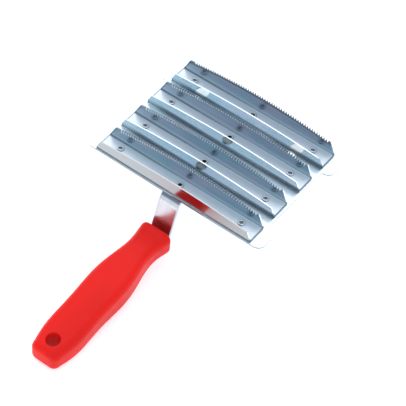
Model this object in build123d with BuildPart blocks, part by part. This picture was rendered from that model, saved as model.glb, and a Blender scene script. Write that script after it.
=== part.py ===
"""Metal curry comb: four toothed steel channels on a flat plate, with an offset moulded grip.

X runs along the bars, +Y points away from the hand, +Z is the way the teeth point.
The origin is under the middle of the whole comb, level with the underside of the grip.
"""
from build123d import *
from math import cos, degrees, pi, radians, sin, tan
import os

# ---- toothed bars; bar 1 is the farthest from the hand ----------------------------
bar_length = 120.0
bar_width = 14.8
bar_sheet = 0.8
bar_bend_radius = 0.7  # inside the fold
outer_pitch = 25.6  # bar 1 to bar 2, and bar 3 to bar 4
middle_pitch = 27.4  # bar 2 to bar 3
toothed_wall_height = 10.2  # at its end corners
plain_wall_height = 7.4  # at its ends
toothed_wall_crown = 4.4  # how much higher the wall is at the middle of the bar
plain_wall_crown = 2.8
wall_end_slant = 4.3
wall_corner_radius = 1.6
tooth_pitch = 1.88
tooth_depth = 2.8
tooth_tip_flat = 0.3
first_tooth_inset = 3.2
last_tooth_inset = 1.0

# ---- base plate -------------------------------------------------------------------
plate_height = 47.3  # its underside, above the underside of the grip
plate_thickness = 1.0
plate_side_margin = 1.9
plate_hand_margin = 0.8
plate_far_margin = 1.6
ear_width = 18.8
ear_reach = 6.5
ear_corner_radius = 5.5
ear_root_radius = 1.5
same_place = 0.01  # edges closer than this to a line are on it
end_hole_diameter = 9.0
end_hole_inset = 22.2  # from the bars' ends
end_hole_setback = 4.7  # from bar 1 towards the hand

# ---- hollow rivets that hold the bars ---------------------------------------------
rivet_inset = 12.8  # from the bar's ends
rivet_line = 6.0  # behind the toothed wall's outer face
rivet_shank_diameter = 3.4
rivet_bore_diameter = 2.5
rivet_ring_diameter = 4.9
rivet_ring_height = 0.9
rivet_bore_floor = 0.5
rivet_head_diameter = 5.8
rivet_head_height = 1.3
rivet_head_shoulder = 50.0  # degrees round the head, where its curve is set
rivet_hole_clearance = 0.05

# ---- solid rivets that hold the strap to the plate --------------------------------
strap_rivet_shank_diameter = 5.0
strap_rivet_head_diameter = 7.2
strap_rivet_head_height = 1.9
strap_rivet_tail_diameter = 7.4
strap_rivet_tail_height = 1.5

# ---- handle strap -----------------------------------------------------------------
strap_width = 14.0
strap_thickness = 2.3
strap_end_margin = 6.5
strap_end_radius = 3.0
strap_bend_start = 3.2  # past the last rivet
neck_bend_radius = 8.2
neck_angle = 74.0
tang_bend_radius = 5.0
tang_angle = 6.5
tang_length = 62.0
tang_corner_radius = 2.5
pocket_side_clearance = 0.15
pocket_end_clearance = 0.6

# ---- moulded grip -----------------------------------------------------------------
grip_length = 112.5
grip_setback = 10.8  # from the plate's edge to the head of the grip
grip_corner_radius = 5.2
grip_head_fillet = 2.0
grip_butt_fillet = 4.6
hang_hole_diameter = 9.0
hang_hole_inset = 10.2
hang_hole_rim = 0.8
rim_share = 0.9  # an edge at least this much of the hole's way round is its rim

# Sections of the grip: distance, half width, top and bottom.
# The first four distances are from the head, the last three from the butt.
head_sections = (
    (0.0, 10.9, 28.0, 8.9),
    (14.0, 9.8, 26.4, 10.6),
    (26.5, 10.2, 26.5, 8.4),
    (39.0, 12.3, 25.4, 5.6),
)
belly_half_width = 12.9
belly_top = 22.6
belly_bottom = 3.4
butt_sections = (
    (27.0, 12.9, 18.9, 1.2),
    (11.5, 11.8, 16.7, 0.0),
    (0.0, 10.0, 14.4, 0.0),
)

# ---- places that follow from the sizes --------------------------------------------
far_bar_face = outer_pitch + middle_pitch / 2
head_depth = 2 * far_bar_face + bar_width + plate_far_margin + plate_hand_margin
overall_length = head_depth + grip_setback + grip_length

plate_far_edge = overall_length / 2
plate_hand_edge = plate_far_edge - head_depth
plate_middle = (plate_far_edge + plate_hand_edge) / 2
plate_width = bar_length + 2 * plate_side_margin
plate_top = plate_height + plate_thickness
floor_top = plate_top + bar_sheet

bars_middle = plate_far_edge - plate_far_margin - far_bar_face
bar_faces = (
    bars_middle + far_bar_face,
    bars_middle + middle_pitch / 2,
    bars_middle - middle_pitch / 2,
    bars_middle - far_bar_face,
)
rivet_rows = tuple(face - rivet_line for face in bar_faces)
rivet_reach = bar_length / 2 - rivet_inset
rivet_columns = {"left": -rivet_reach, "centre": 0.0, "right": rivet_reach}
end_hole_reach = bar_length / 2 - end_hole_inset
end_hole_row = bar_faces[0] - bar_width - end_hole_setback
# Each strap rivet is midway between two bars.
strap_rivet_rows = tuple((bar_faces[i] - bar_width + bar_faces[i + 1]) / 2 for i in (1, 2))

bar_stack = bar_sheet + plate_thickness
strap_stack = plate_thickness + strap_thickness
strap_middle = plate_height - strap_thickness / 2
strap_far_end = rivet_rows[1] + strap_end_margin

grip_head = plate_hand_edge - grip_setback
grip_butt = grip_head - grip_length
tang_level = (head_sections[0][2] + head_sections[0][3]) / 2
hang_hole_row = grip_butt + hang_hole_inset


def strap_route(beyond):
    """Middle line of the strap, seen from the side, carried on past the tang's end."""
    neck_tangent = neck_bend_radius * tan(radians(neck_angle / 2))
    neck_corner = rivet_rows[3] - strap_bend_start - neck_tangent
    neck_slope = tan(radians(neck_angle))
    tang_slope = tan(radians(tang_angle))
    level_gap = strap_middle - tang_level - tang_slope * (neck_corner - grip_head)
    run = level_gap / (neck_slope - tang_slope)
    tang_reach = tang_length + beyond
    return (
        (strap_far_end, strap_middle),
        (neck_corner, strap_middle),
        (neck_corner - run, strap_middle - run * neck_slope),
        (
            grip_head - tang_reach * cos(radians(tang_angle)),
            tang_level - tang_reach * sin(radians(tang_angle)),
        ),
    )


os.makedirs("parts", exist_ok=True)

# ---- base plate with its four corner ears -----------------------------------------
with BuildPart() as base_plate:
    with BuildSketch(Plane.XY.offset(plate_height)):
        with Locations((0, plate_middle)):
            Rectangle(plate_width, head_depth)
        with Locations(
            (0, plate_far_edge - ear_width / 2),
            (0, plate_hand_edge + ear_width / 2),
        ):
            Rectangle(plate_width + 2 * ear_reach, ear_width)
    extrude(amount=plate_thickness)
    upright = base_plate.edges().filter_by(Axis.Z).group_by(Axis.X)
    fillet(upright[0] + upright[-1], radius=ear_corner_radius)
    upright = base_plate.edges().filter_by(Axis.Z).filter_by(
        lambda edge: abs(abs(edge.center().X) - plate_width / 2) < same_place
        and abs(edge.center().Y - plate_middle) < head_depth / 2 - same_place
    )
    fillet(upright, radius=ear_root_radius)
    with Locations(*[(x, y, plate_top) for x in rivet_columns.values() for y in rivet_rows]):
        Hole(radius=rivet_shank_diameter / 2 + rivet_hole_clearance)
    with Locations(*[(0, y, plate_top) for y in strap_rivet_rows]):
        Hole(radius=strap_rivet_shank_diameter / 2 + rivet_hole_clearance)
    with Locations(*[(x, end_hole_row, plate_top) for x in (-end_hole_reach, end_hole_reach)]):
        Hole(radius=end_hole_diameter / 2)
base_plate.part.label = "base_plate"
export_step(base_plate.part, "parts/base_plate.step")

# ---- toothed bars: a folded channel with crowned walls, slanted at both ends -------
inner_width = bar_width - 2 * bar_sheet
slant_top = bar_length / 2 - wall_end_slant
wall_top = plate_top + toothed_wall_height + toothed_wall_crown
toothed_corner = plate_top + toothed_wall_height
plain_corner = plate_top + plain_wall_height
plain_top = plain_corner + plain_wall_crown
crown_radius = (slant_top**2 + toothed_wall_crown**2) / (2 * toothed_wall_crown)
toothed_reach = 2 * slant_top - first_tooth_inset - last_tooth_inset
notch_count = int(toothed_reach / tooth_pitch)
notch_turn = degrees(tooth_pitch / crown_radius)
first_turn = 90 - degrees((slant_top - last_tooth_inset) / crown_radius) + notch_turn / 2
notch_half_width = (tooth_pitch - tooth_tip_flat) / 2
notch_overcut = 0.3  # beyond the crown, so that each notch is open
notch_mouth = notch_half_width * (1 + notch_overcut / tooth_depth)
for number, face in enumerate(bar_faces, start=1):
    bar_middle = face - bar_width / 2
    with BuildPart() as toothed_bar:
        with BuildSketch(Plane.YZ) as end_view:
            with Locations((bar_middle, plate_top)):
                Rectangle(bar_width, wall_top - plate_top, align=(Align.CENTER, Align.MIN))
            fillet(end_view.vertices().group_by(Axis.Y)[0], radius=bar_bend_radius + bar_sheet)
            with Locations((bar_middle, floor_top)):
                RectangleRounded(
                    inner_width,
                    2 * (wall_top - plate_top),
                    bar_bend_radius,
                    align=(Align.CENTER, Align.MIN),
                    mode=Mode.SUBTRACT,
                )
        extrude(amount=bar_length / 2, both=True)
        with BuildSketch(Plane.XZ.offset(-face)) as side_view:
            with BuildLine():
                Polyline(
                    (-slant_top, toothed_corner),
                    (-bar_length / 2, floor_top),
                    (-bar_length / 2, plate_top),
                    (bar_length / 2, plate_top),
                    (bar_length / 2, floor_top),
                    (slant_top, toothed_corner),
                )
                ThreePointArc((slant_top, toothed_corner), (0, wall_top), (-slant_top, toothed_corner))
            make_face()
            corners = side_view.vertices().filter_by(lambda vertex: vertex.Y > floor_top + bar_sheet)
            fillet(corners, radius=wall_corner_radius)
        extrude(amount=bar_width, mode=Mode.INTERSECT)
        with BuildSketch(Plane.XZ.offset(bar_width - bar_sheet - face)):
            with BuildLine():
                ThreePointArc((-slant_top, plain_corner), (0, plain_top), (slant_top, plain_corner))
                Polyline(
                    (slant_top, plain_corner),
                    (bar_length / 2, plain_corner),
                    (bar_length / 2, wall_top),
                    (-bar_length / 2, wall_top),
                    (-bar_length / 2, plain_corner),
                    (-slant_top, plain_corner),
                )
            make_face()
        extrude(amount=bar_sheet, mode=Mode.SUBTRACT)
        with BuildSketch(Plane.XZ.offset(-face)):
            with Locations((0, wall_top - crown_radius)):
                with PolarLocations(crown_radius, notch_count, first_turn, notch_count * notch_turn):
                    Polygon(
                        (notch_overcut, -notch_mouth),
                        (-tooth_depth, 0),
                        (notch_overcut, notch_mouth),
                        align=None,
                    )
        extrude(amount=bar_sheet, mode=Mode.SUBTRACT)
        with Locations(*[(x, face - rivet_line, floor_top) for x in rivet_columns.values()]):
            Hole(radius=rivet_shank_diameter / 2 + rivet_hole_clearance)
    toothed_bar.part.label = f"toothed_bar_{number}"
    export_step(toothed_bar.part, f"parts/toothed_bar_{number}.step")

# ---- hollow rivets: a rolled ring above the floor, a round head below --------------
ring_radius = rivet_ring_diameter / 2
bore_radius = rivet_bore_diameter / 2
shank_radius = rivet_shank_diameter / 2
head_radius = rivet_head_diameter / 2
shoulder_radius = head_radius * sin(radians(rivet_head_shoulder))
shoulder_height = rivet_head_height * cos(radians(rivet_head_shoulder))
ring_roll = rivet_ring_height / 2
bore_flare = rivet_ring_height / 3
for number, row in enumerate(rivet_rows, start=1):
    for column, x in rivet_columns.items():
        through_strap = column == "centre" and row < strap_far_end
        stack = bar_stack + strap_thickness if through_strap else bar_stack
        with BuildPart() as bar_rivet:
            with BuildSketch(Plane(origin=(x, row, floor_top), x_dir=(1, 0, 0), z_dir=(0, -1, 0))):
                with BuildLine():
                    ThreePointArc(
                        (0, -stack - rivet_head_height),
                        (shoulder_radius, -stack - shoulder_height),
                        (head_radius, -stack),
                    )
                    Polyline((head_radius, -stack), (shank_radius, -stack), (shank_radius, 0))
                    Line((shank_radius, 0), (ring_radius - ring_roll, 0))
                    ThreePointArc(
                        (ring_radius - ring_roll, 0),
                        (ring_radius, ring_roll),
                        (ring_radius - ring_roll, rivet_ring_height),
                    )
                    Polyline(
                        (ring_radius - ring_roll, rivet_ring_height),
                        (bore_radius + bore_flare, rivet_ring_height),
                        (bore_radius, rivet_ring_height - bore_flare),
                        (bore_radius, rivet_bore_floor - stack),
                        (0, rivet_bore_floor - stack),
                        (0, -stack - rivet_head_height),
                    )
                make_face()
            revolve(axis=Axis((x, row, 0), (0, 0, 1)))
        bar_rivet.part.label = f"bar_rivet_{number}_{column}"
        export_step(bar_rivet.part, f"parts/bar_rivet_{number}_{column}.step")

# ---- strap rivets: round heads between the bars, set flat under the strap ----------
strap_head_radius = strap_rivet_head_diameter / 2
tail_radius = strap_rivet_tail_diameter / 2
strap_shank_radius = strap_rivet_shank_diameter / 2
for number, row in enumerate(strap_rivet_rows, start=1):
    with BuildPart() as strap_rivet:
        with BuildSketch(Plane(origin=(0, row, plate_top), x_dir=(1, 0, 0), z_dir=(0, -1, 0))):
            with BuildLine():
                RadiusArc(
                    (strap_head_radius, 0),
                    (0, strap_rivet_head_height),
                    -(strap_head_radius**2 + strap_rivet_head_height**2) / (2 * strap_rivet_head_height),
                )
                Line((0, strap_rivet_head_height), (0, -strap_stack - strap_rivet_tail_height))
                RadiusArc(
                    (0, -strap_stack - strap_rivet_tail_height),
                    (tail_radius, -strap_stack),
                    -(tail_radius**2 + strap_rivet_tail_height**2) / (2 * strap_rivet_tail_height),
                )
                Polyline(
                    (tail_radius, -strap_stack),
                    (strap_shank_radius, -strap_stack),
                    (strap_shank_radius, 0),
                    (strap_head_radius, 0),
                )
            make_face()
        revolve(axis=Axis((0, row, 0), (0, 0, 1)))
    strap_rivet.part.label = f"strap_rivet_{number}"
    export_step(strap_rivet.part, f"parts/strap_rivet_{number}.step")

# ---- strap: flat under the plate, down at the neck, then back into the grip --------
with BuildPart() as handle_strap:
    with BuildLine(Plane.YZ):
        route = FilletPolyline(*strap_route(0), radius=(neck_bend_radius, tang_bend_radius))
    with BuildSketch(Plane(origin=route @ 0, x_dir=(1, 0, 0), z_dir=route % 0)):
        Rectangle(strap_width, strap_thickness)
    sweep()
    far_corners = handle_strap.faces().sort_by(Axis.Y)[-1].edges().filter_by(Axis.Z)
    fillet(far_corners, radius=strap_end_radius)
    tang_end = handle_strap.faces().sort_by(Axis.Y)[0]
    fillet(tang_end.edges().sort_by(SortBy.LENGTH)[:2], radius=tang_corner_radius)
    with Locations(*[(0, y, plate_height) for y in rivet_rows[1:]]):
        Hole(radius=rivet_shank_diameter / 2 + rivet_hole_clearance, depth=2 * strap_thickness)
    with Locations(*[(0, y, plate_height) for y in strap_rivet_rows]):
        Hole(radius=strap_rivet_shank_diameter / 2 + rivet_hole_clearance, depth=2 * strap_thickness)
handle_strap.part.label = "handle_strap"
export_step(handle_strap.part, "parts/handle_strap.step")

# ---- grip: lofted through its sections, with the tang's pocket and a hanging hole ---
body_start = head_sections[-1][0]
body_end = grip_length - butt_sections[0][0]
belly = ((body_start + body_end) / 2, belly_half_width, belly_top, belly_bottom)
from_butt = tuple((grip_length - distance, *sizes) for distance, *sizes in butt_sections)
with BuildPart() as handle_grip:
    for distance, half_width, top, bottom in (*head_sections, belly, *from_butt):
        section = Plane(
            origin=(0, grip_head - distance, (top + bottom) / 2),
            x_dir=(1, 0, 0),
            z_dir=(0, -1, 0),
        )
        with BuildSketch(section):
            RectangleRounded(2 * half_width, top - bottom, grip_corner_radius)
    loft()
    fillet(handle_grip.faces().sort_by(Axis.Y)[0].edges(), radius=grip_butt_fillet)
    fillet(handle_grip.faces().sort_by(Axis.Y)[-1].edges(), radius=grip_head_fillet)
    with BuildLine(Plane.YZ):
        route = FilletPolyline(
            *strap_route(pocket_end_clearance), radius=(neck_bend_radius, tang_bend_radius)
        )
    with BuildSketch(Plane(origin=route @ 0, x_dir=(1, 0, 0), z_dir=route % 0)):
        Rectangle(strap_width + 2 * pocket_side_clearance, strap_thickness)
    sweep(mode=Mode.SUBTRACT)
    with Locations((0, hang_hole_row, plate_height)):
        Hole(radius=hang_hole_diameter / 2)
    rims = handle_grip.edges(Select.LAST).filter_by(
        lambda edge: edge.length > rim_share * pi * hang_hole_diameter
    )
    fillet(rims, radius=hang_hole_rim)
handle_grip.part.label = "handle_grip"
export_step(handle_grip.part, "parts/handle_grip.step")
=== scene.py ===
"""Looks of a metal curry comb: bright zinc-plated sheet steel, a steel strap and a red moulded grip.

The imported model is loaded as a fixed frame. Every size here is in metres, in that frame:
X runs along the toothed bars, +Y points away from the hand and +Z is the way the teeth point.
"""

from __future__ import annotations

import logging
from dataclasses import dataclass, field, replace
from enum import Enum
from math import cos, radians, sin
from typing import Any, Sequence

import bpy
from mathutils import Matrix, Vector

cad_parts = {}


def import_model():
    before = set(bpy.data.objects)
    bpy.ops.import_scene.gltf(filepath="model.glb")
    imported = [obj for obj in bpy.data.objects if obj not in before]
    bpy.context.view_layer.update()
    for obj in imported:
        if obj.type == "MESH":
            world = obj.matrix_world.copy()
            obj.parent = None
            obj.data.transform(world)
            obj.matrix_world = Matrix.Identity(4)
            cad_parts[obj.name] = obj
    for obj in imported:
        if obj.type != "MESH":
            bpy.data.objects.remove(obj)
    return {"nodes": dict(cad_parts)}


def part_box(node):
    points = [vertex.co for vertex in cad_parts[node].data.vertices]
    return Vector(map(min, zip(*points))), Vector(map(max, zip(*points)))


LOG = logging.getLogger("curry_comb")

Colour = tuple[float, float, float]
Scale = tuple[float, float, float]
Span = tuple[float, float]

# A Mix node's sockets for its factor, its two colours and their mix.
MIX_FACTOR, MIX_FIRST, MIX_SECOND = 0, 6, 7
MIX_RESULT = 2


class Axis(Enum):
    """The frame's axes, by their place in a vector."""

    X = 0
    Y = 1
    Z = 2


# ---- shader maths -----------------------------------------------------------------


class Value:
    """One output socket, with Python's operators standing for Math nodes."""

    def __init__(self, maker: "NodeMaker", socket: bpy.types.NodeSocket) -> None:
        """Wraps a socket.

        Args:
            maker: the tree that the socket belongs to.
            socket: the output socket.
        """
        self.maker = maker
        self.socket = socket

    def _math(self, operation: str, *others: "Value | float", swap: bool = False) -> "Value":
        """Adds one Math node.

        Args:
            operation: the Math node's operation.
            others: the other operands.
            swap: whether this value comes after the others.

        Returns:
            The node's result.
        """
        operands = (*others, self) if swap else (self, *others)
        return self.maker.add(
            "ShaderNodeMath",
            {"operation": operation},
            {index: operand for index, operand in enumerate(operands)},
        )

    def __add__(self, other: "Value | float") -> "Value":
        """Sum."""
        return self._math("ADD", other)

    __radd__ = __add__

    def __sub__(self, other: "Value | float") -> "Value":
        """Difference."""
        return self._math("SUBTRACT", other)

    def __rsub__(self, other: "Value | float") -> "Value":
        """Difference, with this value taken away."""
        return self._math("SUBTRACT", other, swap=True)

    def __mul__(self, other: "Value | float") -> "Value":
        """Product."""
        return self._math("MULTIPLY", other)

    __rmul__ = __mul__

    def __pow__(self, other: "Value | float") -> "Value":
        """Power."""
        return self._math("POWER", other)

    def __abs__(self) -> "Value":
        """Absolute value."""
        return self._math("ABSOLUTE")

    def step(self, low: float, high: float) -> "Value":
        """A smooth step from 0 to 1.

        Args:
            low: where it leaves 0.
            high: where it reaches 1.

        Returns:
            The stepped value.
        """
        return self.maker.add(
            "ShaderNodeMapRange",
            {"interpolation_type": "SMOOTHSTEP"},
            {"Value": self, "From Min": low, "From Max": high},
        )


class NodeMaker:
    """Builds one node tree."""

    def __init__(self, tree: bpy.types.NodeTree) -> None:
        """Starts with an empty tree.

        Args:
            tree: the tree to fill.
        """
        self.tree = tree
        self.tree.nodes.clear()

    def node(
        self,
        kind: str,
        settings: dict[str, Any] | None = None,
        inputs: dict[str | int, Any] | None = None,
    ) -> bpy.types.Node:
        """Adds a node.

        Args:
            kind: the node's type.
            settings: properties, set first; a ramp's stops go in under "stops".
            inputs: socket name or number to a value, a Value or a socket.

        Returns:
            The node.
        """
        made = self.tree.nodes.new(kind)
        for name, setting in (settings or {}).items():
            if name == "stops":
                self._stops(made.color_ramp, setting)
            else:
                setattr(made, name, setting)
        for key, given in (inputs or {}).items():
            target = made.inputs[key]
            if isinstance(given, Value):
                self.tree.links.new(given.socket, target)
            elif isinstance(given, bpy.types.NodeSocket):
                self.tree.links.new(given, target)
            else:
                target.default_value = given
        return made

    @staticmethod
    def _stops(ramp: bpy.types.ColorRamp, stops: Sequence[tuple[float, Colour]]) -> None:
        """Fills a colour ramp.

        Args:
            ramp: the ramp.
            stops: position and colour of each stop, in order.
        """
        while len(ramp.elements) < len(stops):
            ramp.elements.new(1.0)
        for element, (place, colour) in zip(ramp.elements, stops):
            element.position = place
            element.color = (*colour, 1.0)

    def add(
        self,
        kind: str,
        settings: dict[str, Any] | None = None,
        inputs: dict[str | int, Any] | None = None,
        output: str | int = 0,
    ) -> Value:
        """Adds a node and wraps one of its outputs.

        Args:
            kind: the node's type.
            settings: properties, set first.
            inputs: socket name or number to a value, a Value or a socket.
            output: the output to wrap.

        Returns:
            The wrapped output.
        """
        return Value(self, self.node(kind, settings, inputs).outputs[output])

    def place(self) -> Value:
        """Object coordinates."""
        return self.add("ShaderNodeTexCoord", output="Object")

    def stretched(self, scale: Scale) -> Value:
        """Object coordinates, scaled on each axis.

        Args:
            scale: the factor on X, Y and Z.

        Returns:
            The scaled coordinates.
        """
        return self.add("ShaderNodeMapping", inputs={"Vector": self.place(), "Scale": scale})

    def noise(
        self,
        scale: Scale,
        detail: float = 2.0,
        roughness: float = 0.5,
    ) -> Value:
        """Noise on object coordinates, from 0 to 1.

        Args:
            scale: cells per metre on X, Y and Z.
            detail: octaves.
            roughness: strength of the finer octaves.

        Returns:
            The noise.
        """
        return self.add(
            "ShaderNodeTexNoise",
            inputs={
                "Vector": self.stretched(scale),
                "Scale": 1.0,
                "Detail": detail,
                "Roughness": roughness,
            },
        )

    def facing(self, axis: Axis) -> Value:
        """How far the surface faces along an axis, from -1 to 1.

        Args:
            axis: which one.

        Returns:
            The normal's part along it.
        """
        normal = self.add("ShaderNodeNewGeometry", output="Normal")
        return self.add("ShaderNodeSeparateXYZ", inputs={0: normal}, output=axis.value)

    def along(self, axis: Axis) -> Value:
        """One object coordinate.

        Args:
            axis: which one.

        Returns:
            The coordinate, in metres.
        """
        return self.add("ShaderNodeSeparateXYZ", inputs={0: self.place()}, output=axis.value)

    def ramp(self, factor: Value, stops: Sequence[tuple[float, Colour]]) -> Value:
        """A colour ramp.

        Args:
            factor: where on the ramp.
            stops: position and colour of each stop.

        Returns:
            The colour.
        """
        return self.add("ShaderNodeValToRGB", {"stops": stops}, {"Fac": factor})

    def blend(self, factor: Value | float, first: Value | Colour, second: Value | Colour) -> Value:
        """Mixes two colours.

        Args:
            factor: 0 for the first, 1 for the second.
            first: the first colour.
            second: the second colour.

        Returns:
            The mixed colour.
        """
        colours = [(*given, 1.0) if isinstance(given, tuple) else given for given in (first, second)]
        return self.add(
            "ShaderNodeMix",
            {"data_type": "RGBA"},
            {MIX_FACTOR: factor, MIX_FIRST: colours[0], MIX_SECOND: colours[1]},
            output=MIX_RESULT,
        )

    def bump(self, height: Value, distance: float, normal: Value | None = None) -> Value:
        """A bumped normal.

        Args:
            height: the height, from 0 to 1.
            distance: what a height of 1 is worth, in metres.
            normal: a normal to start from.

        Returns:
            The normal.
        """
        inputs: dict[str | int, Any] = {"Height": height, "Distance": distance, "Strength": 1.0}
        if normal is not None:
            inputs["Normal"] = normal
        return self.add("ShaderNodeBump", inputs=inputs)

    def finish(self, fixed: dict[str, Any], varied: dict[str, Value]) -> None:
        """Ends the tree in a Principled surface.

        Args:
            fixed: sockets with one value all over.
            varied: sockets fed by the tree.
        """
        surface = self.node("ShaderNodeBsdfPrincipled", inputs={**fixed, **varied})
        self.node("ShaderNodeOutputMaterial", inputs={"Surface": surface.outputs[0]})


# ---- finishes ---------------------------------------------------------------------

# How far up or sideways a surface faces, from where it starts to count to where it fully does.
TILTED_UP = (0.3, 0.6)
LEVEL_UP = (0.7, 0.95)
NOT_UPRIGHT = (0.2, 0.5)
ALONG_THE_BAR = (0.35, 0.6)
NOT_UNDERNEATH = (-0.5, -0.3)


@dataclass(frozen=True)
class Crease:
    """A line of painted shade along a fold, patchy and fainter towards its ends."""

    row: float
    level: float
    width: float
    strength: float
    core: float = 0.3
    fade: float = 0.0
    fade_from: float = -0.06
    fade_length: float = 0.09
    begins: float = -1.0
    begin_length: float = 0.016
    faint_share: float = 0.3
    patch_scale: Scale = (18.0, 1.0, 1.0)
    patch_span: Span = (0.3, 0.6)
    patch_share: float = 0.25


@dataclass(frozen=True)
class Lip:
    """Painted reflection outside a bar's plain wall, and a painted highlight along its walls' foot."""

    row: float
    foot: float
    tint: Colour
    right_reflection_tint: Colour
    share: float = 0.85
    blur: float = 0.0004
    tint_span: Span = (-0.03, 0.06)
    foot_highlight_tint: Colour = (0.56, 0.66, 0.72)
    foot_highlight_share: float = 0.6
    foot_blur: float = 0.0026
    polish: float = 0.1


@dataclass(frozen=True)
class Teeth:
    """The band of cut teeth along a crowned wall, darkened with painted shade."""

    top: float
    crown_radius: float
    depth: float = 0.0028
    share: float = 0.3
    starts: float = 1.15
    full: float = 0.8
    notch_share: float = 0.9


@dataclass(frozen=True)
class Bore:
    """Painted shade in the hollow middle of a rivet, and painted shade as an outline round its ring."""

    centre: tuple[float, float]
    strength: float
    radius: float = 0.00125
    blur: float = 0.1
    ring_radius: float = 0.00245
    ring_starts: float = 0.93
    ring_share: float = 0.85


@dataclass(frozen=True)
class ZincFinish:
    """Bright zinc plate on rolled sheet steel, with a thin bluish passivation film."""

    name: str
    tints: tuple[Colour, ...]
    tint_scale: Scale = (22.0, 95.0, 95.0)
    tint_span: Span = (0.3, 0.7)
    # dark colour of painted shade: in folds, along bar ends, along the plate's lower corner, in rivet
    # bores and on the strap
    painted_shade: Colour = (0.08, 0.13, 0.17)
    # colour of cut edges and worn spots, also used as painted shade over the teeth
    cut_edge_and_shade: Colour = (0.16, 0.19, 0.22)
    cut_edge_share: float = 0.0
    burr_level: float = -1.0
    burr_blur: float = 0.0002
    roughness: float = 0.2
    worn_roughness: float = 0.07
    streak_roughness: float = 0.03
    worn_scale: Scale = (140.0, 190.0, 190.0)
    worn_span: Span = (0.52, 0.78)
    worn_share: float = 0.1
    wave_depth: float = 0.00032
    wave_scale: Scale = (13.0, 42.0, 42.0)
    grain_depth: float = 0.000004
    grain_scale: Scale = (45.0, 1500.0, 1500.0)
    # painted reflections along a bar: lighter to the left, darker to the right
    end_reflection_share: float = 0.0
    left_reflection_tint: Colour = (0.43, 0.51, 0.58)
    left_span: Span = (-0.07, 0.0)
    right_reflection_tint: Colour = (0.24, 0.36, 0.43)
    right_span: Span = (-0.01, 0.06)
    brush_tint: Colour = (0.20, 0.29, 0.36)
    brush_scale: Scale = (12.0, 560.0, 560.0)
    brush_span: Span = (0.35, 0.65)
    brush_share: float = 0.45
    # painted highlight: upward faces paler
    top_highlight_tint: Colour = (0.86, 0.93, 0.97)
    top_highlight_share: float = 0.0
    level_roughness: float = 0.2
    level_metal: float = 1.0
    ledge: float = 1.0
    ledge_blur: float = 0.001
    ledge_share: float = 0.35
    half_length: float = 0.0
    # painted shade along a bar's ends
    end_shade_from: float = 0.0009
    end_shade_full: float = 0.0004
    end_shade_share: float = 0.85
    # painted highlight on the notches' cut faces; a dark grey is given as painted shade on the far bar
    notch_highlight_and_shade: Colour = (0.93, 0.95, 0.96)
    creases: tuple[Crease, ...] = ()
    lip: Lip | None = None
    teeth: Teeth | None = None
    bore: Bore | None = None

    def material(self) -> bpy.types.Material:
        """Builds the material.

        Returns:
            The material.
        """
        made = bpy.data.materials.new(self.name)
        made.use_nodes = True
        tree = NodeMaker(made.node_tree)
        streaks = tree.noise(self.grain_scale)
        worn = tree.noise(self.worn_scale, detail=4.0, roughness=0.65).step(*self.worn_span)
        upward = tree.facing(Axis.Z)
        ledge = upward.step(*TILTED_UP) * tree.along(Axis.Z).step(self.ledge, self.ledge + self.ledge_blur)
        level = upward.step(*LEVEL_UP) * (1.0 - ledge)
        colour = tree.blend(worn * self.worn_share, self.film(tree), self.cut_edge_and_shade)
        # painted highlight on upward faces
        colour = tree.blend(level * self.top_highlight_share, colour, self.top_highlight_tint)
        colour = tree.blend(ledge * self.ledge_share, colour, self.cut_edge_and_shade)
        rough = worn * self.worn_roughness + streaks * self.streak_roughness
        rough = rough + level * self.level_roughness + self.roughness
        if self.cut_edge_share:
            colour = self.trimmed(tree, colour, upward)
        # painted highlight along the walls' foot and painted reflection outside the plain wall
        if self.lip is not None:
            outside = self.outside(tree, self.lip) * (1.0 - level)
            colour = self.lipped(tree, colour, self.lip, outside)
            rough = rough - outside * self.lip.polish
        # painted shade over the teeth, with a painted highlight on the notches
        if self.teeth is not None:
            colour = self.toothed(tree, colour, self.teeth)
        # painted shade along the folds
        for crease in self.creases:
            colour = tree.blend(self.cover(tree, crease), colour, self.painted_shade)
        # painted shade along the bar's ends
        if self.half_length:
            span = (self.half_length - self.end_shade_from, self.half_length - self.end_shade_full)
            end = abs(tree.along(Axis.X)).step(*span)
            colour = tree.blend(end * self.end_shade_share, colour, self.painted_shade)
        # painted shade in the rivet's bore and round its ring
        if self.bore is not None:
            colour = tree.blend(self.hollow(tree, self.bore), colour, self.painted_shade)
        metal = 1.0 - level * (1.0 - self.level_metal)
        waves = tree.bump(tree.noise(self.wave_scale, detail=1.0), self.wave_depth)
        grain = tree.bump(streaks, self.grain_depth, normal=waves)
        tree.finish({}, {"Base Color": colour, "Metallic": metal, "Roughness": rough, "Normal": grain})
        return made

    def film(self, tree: NodeMaker) -> Value:
        """The drifting tints of the passivation film, brushed, with painted reflections lighter towards a
        bar's left end and darker towards its right.

        Args:
            tree: the material's tree.

        Returns:
            The colour.
        """
        first, last = self.tint_span
        gap = (last - first) / (len(self.tints) - 1)
        stops = [(first + gap * index, tint) for index, tint in enumerate(self.tints)]
        colour = tree.ramp(tree.noise(self.tint_scale, detail=3.0), stops)
        if not self.end_reflection_share:
            return colour
        across = tree.along(Axis.X)
        left = 1.0 - across.step(*self.left_span)
        right = across.step(*self.right_span)
        brushed = tree.noise(self.brush_scale, detail=4.0, roughness=0.7).step(*self.brush_span)
        # painted reflections: lighter towards the left end, darker towards the right
        colour = tree.blend(left * self.end_reflection_share, colour, self.left_reflection_tint)
        colour = tree.blend(right * self.end_reflection_share, colour, self.right_reflection_tint)
        return tree.blend(brushed * self.brush_share, colour, self.brush_tint)

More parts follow.
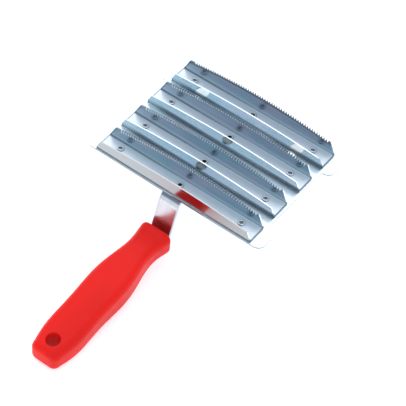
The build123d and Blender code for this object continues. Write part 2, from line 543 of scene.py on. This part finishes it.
    def trimmed(self, tree: NodeMaker, colour: Value, upward: Value) -> Value:
        """Adds the sheet's cut edges, with painted shade along their lower corner.

        Args:
            tree: the material's tree.
            colour: the colour so far.
            upward: how far the surface faces up.

        Returns:
            The colour.
        """
        edge = 1.0 - abs(upward).step(*NOT_UPRIGHT)
        burr = 1.0 - tree.along(Axis.Z).step(self.burr_level, self.burr_level + self.burr_blur)
        colour = tree.blend(edge * self.cut_edge_share, colour, self.cut_edge_and_shade)
        # painted shade along the lower corner of the cut edges
        return tree.blend(edge * burr, colour, self.painted_shade)

    def outside(self, tree: NodeMaker, lip: Lip) -> Value:
        """Where the outside of the plain wall is.

        Args:
            tree: the material's tree.
            lip: the plain wall's outside.

        Returns:
            1 on it and 0 behind it.
        """
        return 1.0 - tree.along(Axis.Y).step(lip.row, lip.row + lip.blur)

    def lipped(self, tree: NodeMaker, colour: Value, lip: Lip, outside: Value) -> Value:
        """Adds a painted highlight along the foot of the walls and a painted reflection outside the plain
        wall.

        Args:
            tree: the material's tree.
            colour: the colour so far.
            lip: the plain wall's outside.
            outside: where that outside is, away from the level faces.

        Returns:
            The colour.
        """
        # painted highlight along the foot, then painted reflection outside the plain wall
        low = 1.0 - tree.along(Axis.Z).step(lip.foot, lip.foot + lip.foot_blur)
        right = tree.along(Axis.X).step(*lip.tint_span)
        colour = tree.blend(low * lip.foot_highlight_share, colour, lip.foot_highlight_tint)
        return tree.blend(outside * lip.share, colour, tree.blend(right, lip.tint, lip.right_reflection_tint))

    def toothed(self, tree: NodeMaker, colour: Value, teeth: Teeth) -> Value:
        """Adds painted shade over the band of teeth, and a painted highlight on the cut faces of their
        notches, which is painted shade on the far bar.

        Args:
            tree: the material's tree.
            colour: the colour so far.
            teeth: the band of teeth.

        Returns:
            The colour.
        """
        across = tree.along(Axis.X)
        height = tree.along(Axis.Z) + across * across * (0.5 / teeth.crown_radius)
        band = height.step(teeth.top - teeth.depth * teeth.starts, teeth.top - teeth.depth * teeth.full)
        notch = abs(tree.facing(Axis.X)).step(*ALONG_THE_BAR)
        # painted shade over the band of teeth
        colour = tree.blend(band * teeth.share, colour, self.cut_edge_and_shade)
        # painted highlight on the notches' cut faces, painted shade on the far bar
        return tree.blend(notch * teeth.notch_share, colour, self.notch_highlight_and_shade)

    def cover(self, tree: NodeMaker, crease: Crease) -> Value:
        """How much painted shade lies on the surface along a crease.

        Args:
            tree: the material's tree.
            crease: the crease.

        Returns:
            Up to the crease's strength in its core, and 0 outside its width.
        """
        aside = tree.along(Axis.Y) - crease.row
        above = tree.along(Axis.Z) - crease.level
        away = (aside * aside + above * above) ** 0.5
        line = 1.0 - away.step(crease.width * crease.core, crease.width)
        across = tree.along(Axis.X)
        patchy = tree.noise(crease.patch_scale, detail=1.0).step(*crease.patch_span)
        fade = across.step(crease.fade_from, crease.fade_from + crease.fade_length)
        begun = across.step(crease.begins, crease.begins + crease.begin_length)
        line = line * (patchy * crease.patch_share + (1.0 - crease.patch_share))
        line = line * (1.0 - fade * crease.fade)
        return line * (begun * (1.0 - crease.faint_share) + crease.faint_share) * crease.strength

    def hollow(self, tree: NodeMaker, bore: Bore) -> Value:
        """How much painted shade a rivet gets in its bore and round its ring.

        Args:
            tree: the material's tree.
            bore: the bore.

        Returns:
            The bore's strength inside it, the outline's share beyond the ring and 0 between them.
        """
        aside = tree.along(Axis.X) - bore.centre[0]
        beyond = tree.along(Axis.Y) - bore.centre[1]
        away = (aside * aside + beyond * beyond) ** 0.5
        inside = 1.0 - away.step(bore.radius * (1.0 - bore.blur), bore.radius * (1.0 + bore.blur))
        outline = away.step(bore.ring_radius * bore.ring_starts, bore.ring_radius)
        shown = tree.facing(Axis.Z).step(*NOT_UNDERNEATH)
        return (inside * bore.strength + outline * bore.ring_share) * shown


@dataclass(frozen=True)
class GripFinish:
    """Semi-gloss red plastic, straight from the mould."""

    name: str = "red_grip_plastic"
    colour: Colour = (0.76, 0.008, 0.004)
    deep_colour: Colour = (0.64, 0.006, 0.003)
    flow_scale: Scale = (30.0, 12.0, 30.0)
    flow_span: Span = (0.4, 0.7)
    speckle_scale: Scale = (900.0, 900.0, 900.0)
    speckle_depth: float = 0.00004
    speckle_roughness: float = 0.06
    scuff_scale: Scale = (70.0, 300.0, 70.0)
    scuff_span: Span = (0.55, 0.8)
    scuff_roughness: float = 0.12
    roughness: float = 0.38
    ior: float = 1.45
    gloss: float = 0.2

    def material(self) -> bpy.types.Material:
        """Builds the material.

        Returns:
            The material.
        """
        made = bpy.data.materials.new(self.name)
        made.use_nodes = True
        tree = NodeMaker(made.node_tree)
        flow = tree.noise(self.flow_scale).step(*self.flow_span)
        speckle = tree.noise(self.speckle_scale, detail=3.0)
        scuffs = tree.noise(self.scuff_scale, detail=4.0, roughness=0.7).step(*self.scuff_span)
        rough = scuffs * self.scuff_roughness + speckle * self.speckle_roughness + self.roughness
        tree.finish(
            {"IOR": self.ior, "Specular IOR Level": self.gloss},
            {
                "Base Color": tree.blend(flow, self.colour, self.deep_colour),
                "Roughness": rough,
                "Normal": tree.bump(speckle, self.speckle_depth),
            },
        )
        return made


# ---- the comb ---------------------------------------------------------------------


def dress(node: bpy.types.Object, material: bpy.types.Material) -> None:
    """Puts one material in every slot of a node.

    Args:
        node: the object.
        material: the material.
    """
    if not node.material_slots:
        node.data.materials.append(material)
    for slot in node.material_slots:
        slot.material = material


BLUE = (0.285, 0.42, 0.50)
CYAN = (0.31, 0.48, 0.53)
LILAC = (0.36, 0.44, 0.52)
ROSE = (0.46, 0.43, 0.52)
SILVER = (0.46, 0.52, 0.56)
# PALE_CYAN, WHITE_METAL and GREY paint reflections outside the plain walls; WHITE_METAL and DARK_GREY
# paint the notches' highlight and shade
PALE_CYAN = (0.76, 0.89, 0.92)
GREY = (0.385, 0.405, 0.405)
DARK_GREY = (0.30, 0.33, 0.35)
WHITE_METAL = (0.94, 0.96, 0.97)


@dataclass
class CombHead:
    """The plate, the toothed bars and their rivets."""

    nodes: dict[str, bpy.types.Object]
    far_bar: str = "toothed_bar_1"
    hand_bar: str = "toothed_bar_4"
    inner_fold: float = 0.0011
    outer_fold: float = 0.0014
    hand_fold: float = 0.0004
    clean_end: float = 0.002  # before a bar's outer fold darkens
    lip_depth: float = 0.0004
    foot_height: float = 0.0022
    ledge_height: float = 0.004
    burr_height: float = 0.0003
    crown_radius: float = 0.3548  # of the toothed walls' tops
    # painted shade over the teeth, deeper on the far bar
    far_teeth_shade: float = 0.9
    teeth_shade: float = 0.3
    open_bore_shade: float = 0.9
    bore_shade: float = 0.45
    bars: ZincFinish = ZincFinish(
        "bar_zinc",
        (CYAN, BLUE, LILAC, ROSE, LILAC, CYAN),
        end_reflection_share=0.55,
        top_highlight_share=0.95,
        level_metal=0.6,
    )
    plate: ZincFinish = ZincFinish(
        "plate_zinc",
        (BLUE, CYAN, SILVER, LILAC),
        level_roughness=0.1,
        roughness=0.16,
        cut_edge_and_shade=(0.46, 0.48, 0.49),
        cut_edge_share=0.8,
        top_highlight_share=0.5,
        level_metal=0.85,
    )
    rivets: ZincFinish = ZincFinish(
        "rivet_zinc",
        ((0.58, 0.64, 0.68), (0.66, 0.70, 0.73)),
        wave_depth=0.0,
    )
    heads: ZincFinish = ZincFinish(
        "dull_rivet_zinc",
        ((0.26, 0.29, 0.30), (0.36, 0.38, 0.38)),
        roughness=0.38,
        wave_depth=0.0,
    )

    def folds(self, low: Vector, high: Vector, nearest: bool) -> tuple[Crease, Crease]:
        """The painted shade along a bar's two folds.

        Args:
            low: the bar's lowest corner.
            high: its highest corner.
            nearest: whether it is the bar beside the hand, whose outer fold gets fainter painted shade.

        Returns:
            The crease inside the toothed wall and the one outside the plain wall.
        """
        inner = Crease(
            high.y - self.inner_fold,
            low.z + self.inner_fold,
            width=0.0009,
            strength=0.9,
            fade=0.75,
        )
        if nearest:
            return inner, Crease(low.y, low.z + self.hand_fold, width=0.0015, strength=0.25)
        outer = Crease(
            low.y,
            low.z + self.outer_fold,
            width=0.0026,
            strength=0.95,
            begins=low.x + self.clean_end,
        )
        return inner, outer

    def lip(self, low: Vector, nearest: bool) -> Lip:
        """The outside of a bar's plain wall.

        Args:
            low: the bar's lowest corner.
            nearest: whether it is the bar beside the hand, whose outside gets a grey painted reflection.

        Returns:
            The lip.
        """
        row, foot = low.y + self.lip_depth, low.z + self.foot_height
        if nearest:
            return Lip(row, foot, GREY, GREY, share=0.95)
        return Lip(row, foot, PALE_CYAN, WHITE_METAL)

    def dress_bar(self, name: str) -> None:
        """Gives a bar its own finish, with residue along its folds and darker teeth.

        Args:
            name: the bar's name.
        """
        low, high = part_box(name)
        nearest, farthest = name == self.hand_bar, name == self.far_bar
        finish = replace(
            self.bars,
            name=f"{name}_zinc",
            ledge=low.z + self.ledge_height,
            half_length=high.x,
            creases=self.folds(low, high, nearest),
            lip=self.lip(low, nearest),
            teeth=Teeth(
                high.z,
                self.crown_radius,
                share=self.far_teeth_shade if farthest else self.teeth_shade,
            ),
            # painted shade on the far bar's notches, painted highlight on the others
            notch_highlight_and_shade=DARK_GREY if farthest else WHITE_METAL,
        )
        dress(self.nodes[name], finish.material())

    def dress_rivet(self, name: str) -> None:
        """Gives a hollow rivet its own finish, with painted shade in its bore, deeper in a middle one.

        Args:
            name: the rivet's name.
        """
        low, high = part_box(name)
        # painted shade in the bore: deeper in a middle rivet
        strength = self.open_bore_shade if name.endswith("centre") else self.bore_shade
        bore = Bore(((low.x + high.x) / 2, (low.y + high.y) / 2), strength)
        dress(self.nodes[name], replace(self.rivets, name=f"{name}_zinc", bore=bore).material())

    def dress(self) -> None:
        """Gives each node its finish."""
        plate_low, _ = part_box("base_plate")
        plate = replace(self.plate, burr_level=plate_low.z + self.burr_height).material()
        heads = self.heads.material()
        for name, node in self.nodes.items():
            if name.startswith("toothed_bar"):
                self.dress_bar(name)
            elif name.startswith("bar_rivet"):
                self.dress_rivet(name)
            elif name.startswith("strap_rivet"):
                dress(node, heads)
            elif name == "base_plate":
                dress(node, plate)
            else:
                continue
            LOG.info("dressed %s", name)


@dataclass
class Handle:
    """The steel strap and the moulded grip."""

    nodes: dict[str, bpy.types.Object]
    strap: ZincFinish = ZincFinish(
        "strap_zinc",
        ((0.50, 0.51, 0.54), (0.61, 0.62, 0.65), (0.56, 0.57, 0.60)),
        tint_scale=(110.0, 30.0, 30.0),
        grain_scale=(1500.0, 45.0, 45.0),
    )
    grip: GripFinish = GripFinish()
    plate_shadow_inset: float = 0.0004
    plate_shadow_drop: float = 0.0020

    def dress(self) -> None:
        """Gives each node its finish, with a painted shadow line on the strap just under the plate's edge.
        """
        low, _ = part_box("base_plate")
        # painted shadow of the plate's edge on the strap
        line = Crease(low.y + self.plate_shadow_inset, low.z - self.plate_shadow_drop, width=0.0021, strength=0.9)
        dress(self.nodes["handle_strap"], replace(self.strap, creases=(line,)).material())
        LOG.info("dressed handle_strap")
        dress(self.nodes["handle_grip"], self.grip.material())
        LOG.info("dressed handle_grip")


# ---- the studio -------------------------------------------------------------------

WHITE = (1.0, 1.0, 1.0)
BLACK = (0.0, 0.0, 0.0)


@dataclass(frozen=True)
class Glow:
    """A soft round patch of the surroundings, in degrees."""

    azimuth: float
    elevation: float
    core: float
    reach: float
    colour: Colour


@dataclass
class Studio:
    """The floor, the soft light all round and the camera."""

    air: Colour = (0.50, 0.52, 0.56)
    strength: float = 2.1
    glows: tuple[Glow, ...] = (
        Glow(212.6, 49.3, 14.0, 32.0, (0.95, 0.95, 1.0)),
        Glow(338.0, 48.0, 2.0, 17.0, (0.27, 0.36, 0.44)),
    )
    floor_size: float = 12.0
    floor_drop: float = 0.0002
    floor_paint: Colour = (0.88, 0.88, 0.88)
    floor_roughness: float = 0.9
    floor_glow: float = 0.45
    # colour and edges of the painted shadow under the comb's head
    shadow_paint: Colour = (0.55, 0.55, 0.55)
    shadow_left: Span = (-0.018, 0.008)
    shadow_right: Span = (-0.05, -0.034)
    shadow_hand: Span = (0.033, 0.042)
    shadow_far: Span = (-0.016, 0.0)
    azimuth: float = 31.33
    elevation: float = 49.50
    roll: float = -6.85
    distance: float = 1.0925
    lens: float = 155.2
    sensor: float = 36.0
    target: Vector = field(default_factory=lambda: Vector((0.01613, 0.02663, 0.04131)))

    def world(self) -> None:
        """Fills the surroundings with pale light, brighter behind the comb, bluer and darker before it."""
        world = bpy.data.worlds.new("studio_air")
        bpy.context.scene.world = world
        world.use_nodes = True
        tree = NodeMaker(world.node_tree)
        light: Value | Colour = self.air
        for glow in self.glows:
            light = tree.blend(self.patch(tree, glow), light, glow.colour)
        sky = tree.node("ShaderNodeBackground", inputs={"Color": light, "Strength": self.strength})
        tree.node("ShaderNodeOutputWorld", inputs={"Surface": sky.outputs[0]})

    def patch(self, tree: NodeMaker, glow: Glow) -> Value:
        """How much of a glow shows in each direction.

        Args:
            tree: the world's tree.
            glow: the glow.

        Returns:
            1 in its middle and 0 outside it.
        """
        way = tree.add("ShaderNodeTexCoord", output="Generated")
        towards = tree.add(
            "ShaderNodeVectorMath",
            {"operation": "DOT_PRODUCT"},
            {0: way, 1: self.direction(glow.azimuth, glow.elevation)},
            output="Value",
        )
        return towards.step(cos(radians(glow.reach)), cos(radians(glow.core)))

    def floor(self) -> None:
        """Lays a pale floor under the comb, with a painted shadow under its head."""
        bpy.ops.mesh.primitive_plane_add(size=self.floor_size, location=(0, 0, -self.floor_drop))
        plane = bpy.context.object
        plane.name = "studio_floor"
        paint = bpy.data.materials.new("floor_paint")
        paint.use_nodes = True
        tree = NodeMaker(paint.node_tree)
        # painted shadow under the comb's head: darker paint and no glow
        dark = self.painted_shadow(tree)
        tree.finish(
            {"Roughness": self.floor_roughness, "Emission Strength": self.floor_glow},
            {
                "Base Color": tree.blend(dark, self.floor_paint, self.shadow_paint),
                "Emission Color": tree.blend(dark, WHITE, BLACK),
            },
        )
        dress(plane, paint)

    def painted_shadow(self, tree: NodeMaker) -> Value:
        """Where the painted shadow under the comb's head lies on the floor, in darker paint and with no
        glow.

        It is painted, not cast. Its edges on the hand's side and on the right are set back to where the
        main camera can't see them, but they show from other sides.

        Args:
            tree: the floor's tree.

        Returns:
            1 in the patch and 0 away from it.
        """
        low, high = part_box("base_plate")
        across, beyond = tree.along(Axis.X), tree.along(Axis.Y)
        left = across.step(*(low.x + edge for edge in self.shadow_left))
        right = 1.0 - across.step(*(high.x + edge for edge in self.shadow_right))
        hand = beyond.step(*(low.y + edge for edge in self.shadow_hand))
        far = 1.0 - beyond.step(*(high.y + edge for edge in self.shadow_far))
        return left * right * hand * far

    def direction(self, azimuth: float, elevation: float) -> Vector:
        """The unit vector from the comb towards a place around it.

        Args:
            azimuth: degrees, 0 on the hand's side and 90 on the right.
            elevation: degrees above the floor.

        Returns:
            The direction.
        """
        turn, lift = radians(azimuth), radians(elevation)
        return Vector((sin(turn) * cos(lift), -cos(turn) * cos(lift), sin(lift)))

    def camera(self) -> None:
        """Sets up the camera, looking at the target and rolled a little to one side."""
        lens = bpy.data.cameras.new("studio_camera")
        lens.lens = self.lens
        lens.sensor_width = self.sensor
        camera = bpy.data.objects.new("studio_camera", lens)
        bpy.context.scene.collection.objects.link(camera)
        place = self.target + self.direction(self.azimuth, self.elevation) * self.distance
        aim = (self.target - place).to_track_quat("-Z", "Y").to_matrix().to_4x4()
        roll = Matrix.Rotation(radians(-self.roll), 4, "Z")
        camera.matrix_world = Matrix.Translation(place) @ aim @ roll
        bpy.context.scene.camera = camera

    def build(self) -> None:
        """Builds the whole studio."""
        self.world()
        self.floor()
        self.camera()


# ---- run --------------------------------------------------------------------------


def main() -> None:
    """Loads the frame, dresses the comb and sets up the studio."""
    logging.basicConfig(level=logging.INFO, format="%(name)s: %(message)s")
    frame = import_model()
    bpy.ops.object.select_all(action="DESELECT")
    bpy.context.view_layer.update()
    bpy.context.scene.view_settings.view_transform = "Standard"
    CombHead(frame["nodes"]).dress()
    Handle(frame["nodes"]).dress()
    Studio().build()


if __name__ == "__main__":
    main()
